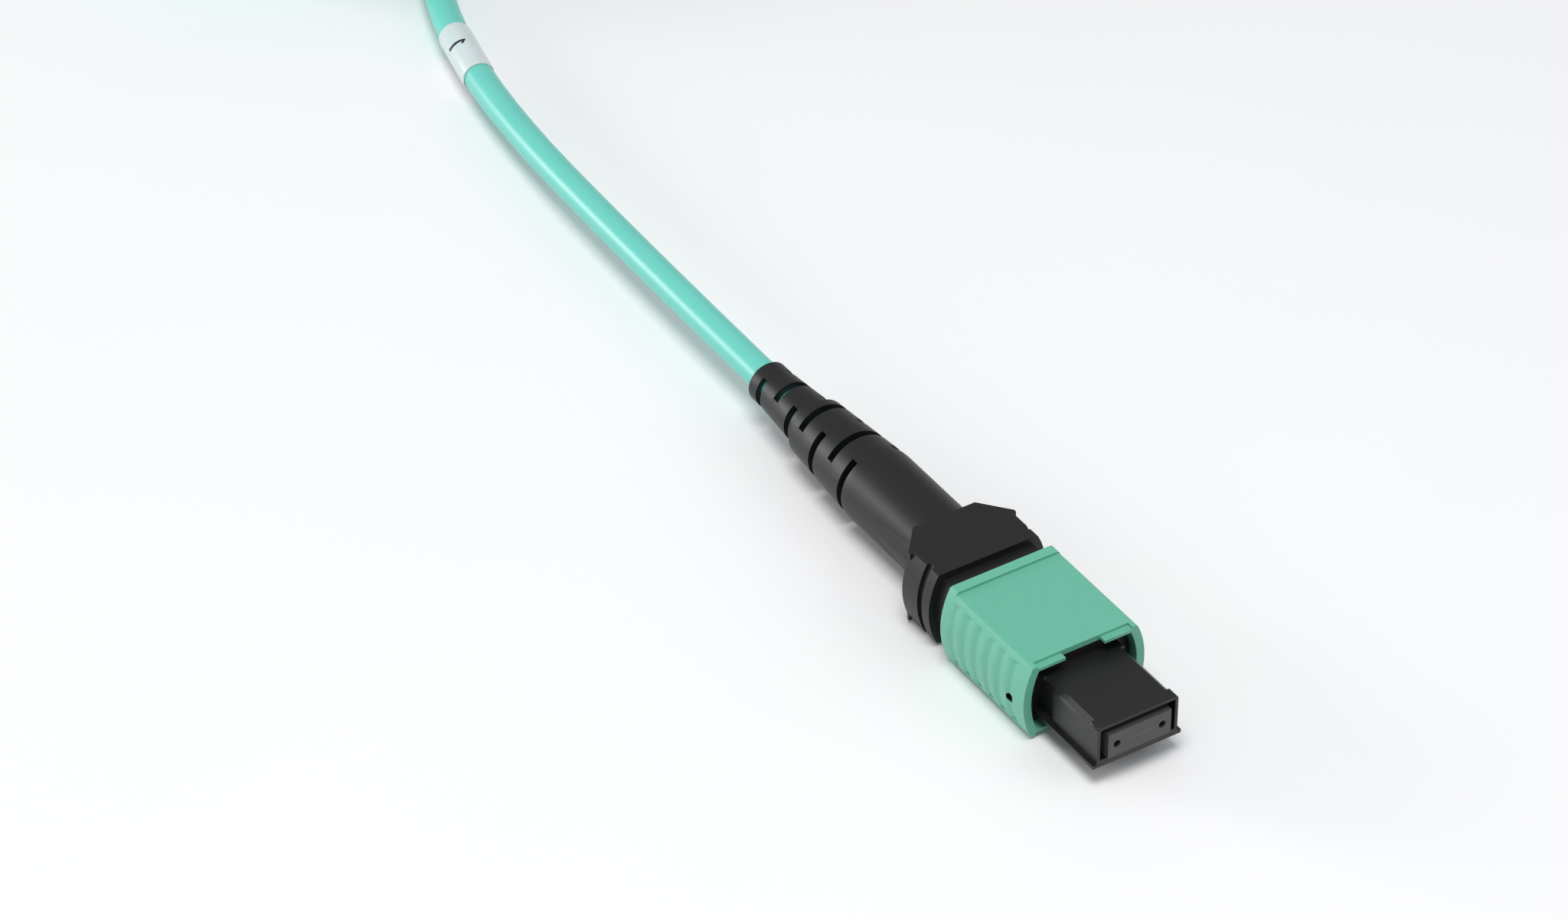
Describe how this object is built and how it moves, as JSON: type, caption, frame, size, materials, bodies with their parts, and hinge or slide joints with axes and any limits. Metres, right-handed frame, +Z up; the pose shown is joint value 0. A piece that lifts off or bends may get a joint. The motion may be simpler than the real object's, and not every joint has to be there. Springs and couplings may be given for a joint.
{
  "type": "mpo fibre connector",
  "caption": "Flat multi-fibre push-on plug with a sprung coupling sleeve, a floating ferrule, a slotted strain relief boot and its round leg cord, coiled.",
  "frame": {"origin": "centre of the plug's footprint without its cord, on the surface that it stands on", "axes": "+Y runs from the mating face back along the plug to its cord, +X across the row of fibres, +Z up away from the key side"},
  "size_m": [0.0316, 0.1715, 0.0133],
  "materials": {
    "sleeve_aqua": "fine moulded satin",
    "plastic_black": "moulded matte",
    "boot_black": "soft matte",
    "ferrule_grey": "glass-filled, end face polished",
    "glue": "set amber glue",
    "soft_grommet": "soft matte",
    "fibre_glass": "coated glass fibre",
    "spring_steel": "drawn wire",
    "ring_metal": "plain drawn",
    "yarn": "strength yarn",
    "jacket_aqua": "extruded satin",
    "marker_clear": "translucent white",
    "strap": "hook and loop tape"
  },
  "bodies": {
    "housing": {"inner_housing": "plastic_black", "coupling_spring_left": "spring_steel", "coupling_spring_right": "spring_steel", "main_spring": "spring_steel", "spring_push": "plastic_black", "crimp_ring": "ring_metal", "aramid_yarn": "yarn", "strain_boot": "boot_black", "cord_lead": "jacket_aqua", "marker_sleeve": "marker_clear", "cord_coil": "jacket_aqua", "cord_tie": "strap"},
    "sleeve": {"coupling_sleeve": "sleeve_aqua"},
    "ferrule": {"mt_ferrule": "ferrule_grey", "ferrule_epoxy": "glue", "ferrule_boot": "soft_grommet", "pin_spacer": "plastic_black", "fibre_ribbon": "fibre_glass"}
  },
  "joints": [
    {"name": "sleeve_slide", "type": "slide", "parent": "housing", "child": "sleeve", "axis": [0, 1, 0], "range_m": [0, 0.0017], "stiffness_N_per_m": 300, "springref_m": -0.004, "deforming": ["coupling_spring_left", "coupling_spring_right"]},
    {"name": "ferrule_float", "type": "slide", "parent": "housing", "child": "ferrule", "axis": [0, 1, 0], "range_m": [0, 0.0006], "stiffness_N_per_m": 600, "springref_m": -0.003, "deforming": ["main_spring"]}
  ]
}
